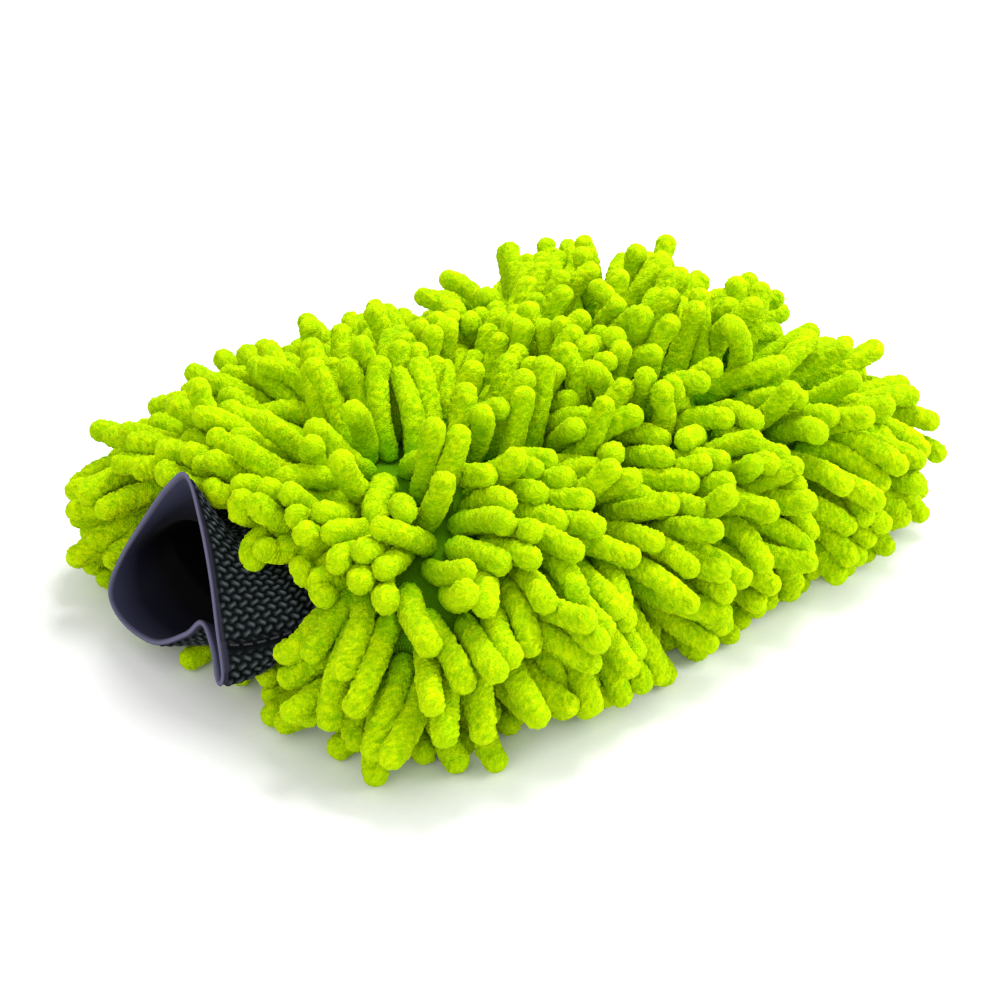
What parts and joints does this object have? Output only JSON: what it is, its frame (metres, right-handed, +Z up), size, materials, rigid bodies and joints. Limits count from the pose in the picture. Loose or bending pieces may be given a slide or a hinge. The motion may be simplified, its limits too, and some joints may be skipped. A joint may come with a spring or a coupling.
{
  "type": "wash mitt",
  "caption": "Rounded rectangular hand mitt covered on both faces with long chenille noodles, with a wide woven elastic cuff at the wrist end.",
  "frame": {"origin": "on the surface that the mitt lies on, under the middle of its overall box", "axes": "+X from the wrist to the finger end, +Y across the mitt, +Z up out of the top face"},
  "size_m": [0.2806, 0.2202, 0.0816],
  "materials": {
    "chenille": "fuzzy terry-like microfibre pile, bright lime",
    "knit_backing": "fine jersey knit, lime in shade",
    "lining": "plain smooth tricot",
    "elastic": "woven elastic, brick rib outside and smooth inside, dark navy",
    "pale_thread": "polyester sewing thread, pale grey",
    "green_thread": "polyester sewing thread, lime"
  },
  "bodies": {
    "mitt_body": {"bottom_backing": "knit_backing", "bottom_lining": "lining", "bottom_noodle_row_01": "chenille", "bottom_noodle_row_02": "chenille", "bottom_noodle_row_03": "chenille", "bottom_noodle_row_04": "chenille", "bottom_noodle_row_05": "chenille", "bottom_noodle_row_06": "chenille", "bottom_noodle_row_07": "chenille", "bottom_noodle_row_08": "chenille", "bottom_noodle_row_09": "chenille", "bottom_noodle_row_10": "chenille", "bottom_noodle_row_11": "chenille", "bottom_noodle_row_12": "chenille", "bottom_noodle_row_13": "chenille", "bottom_noodle_row_14": "chenille", "bottom_noodle_row_15": "chenille", "bottom_noodle_row_16": "chenille", "bottom_noodle_row_17": "chenille", "bottom_noodle_row_18": "chenille", "bottom_noodle_row_19": "chenille", "bottom_noodle_row_20": "chenille", "bottom_noodle_row_21": "chenille", "mouth_stitching": "green_thread", "perimeter_overlock": "green_thread", "top_backing": "knit_backing", "top_lining": "lining", "top_noodle_row_01": "chenille", "top_noodle_row_02": "chenille", "top_noodle_row_03": "chenille", "top_noodle_row_04": "chenille", "top_noodle_row_05": "chenille", "top_noodle_row_06": "chenille", "top_noodle_row_07": "chenille", "top_noodle_row_08": "chenille", "top_noodle_row_09": "chenille", "top_noodle_row_10": "chenille", "top_noodle_row_11": "chenille", "top_noodle_row_12": "chenille", "top_noodle_row_13": "chenille", "top_noodle_row_14": "chenille", "top_noodle_row_15": "chenille", "top_noodle_row_16": "chenille", "top_noodle_row_17": "chenille", "top_noodle_row_18": "chenille", "top_noodle_row_19": "chenille", "top_noodle_row_20": "chenille", "top_noodle_row_21": "chenille"},
    "cuff": {"cuff_band": "elastic", "cuff_lap_stitching": "pale_thread"}
  },
  "joints": [
    {"name": "cuff_flex", "type": "hinge", "parent": "mitt_body", "child": "cuff", "pos_m": [-0.10983, 0, 0.031], "axis": [0, 1, 0], "range_deg": [-10, 12], "stiffness_Nm_per_rad": 0.1}
  ]
}
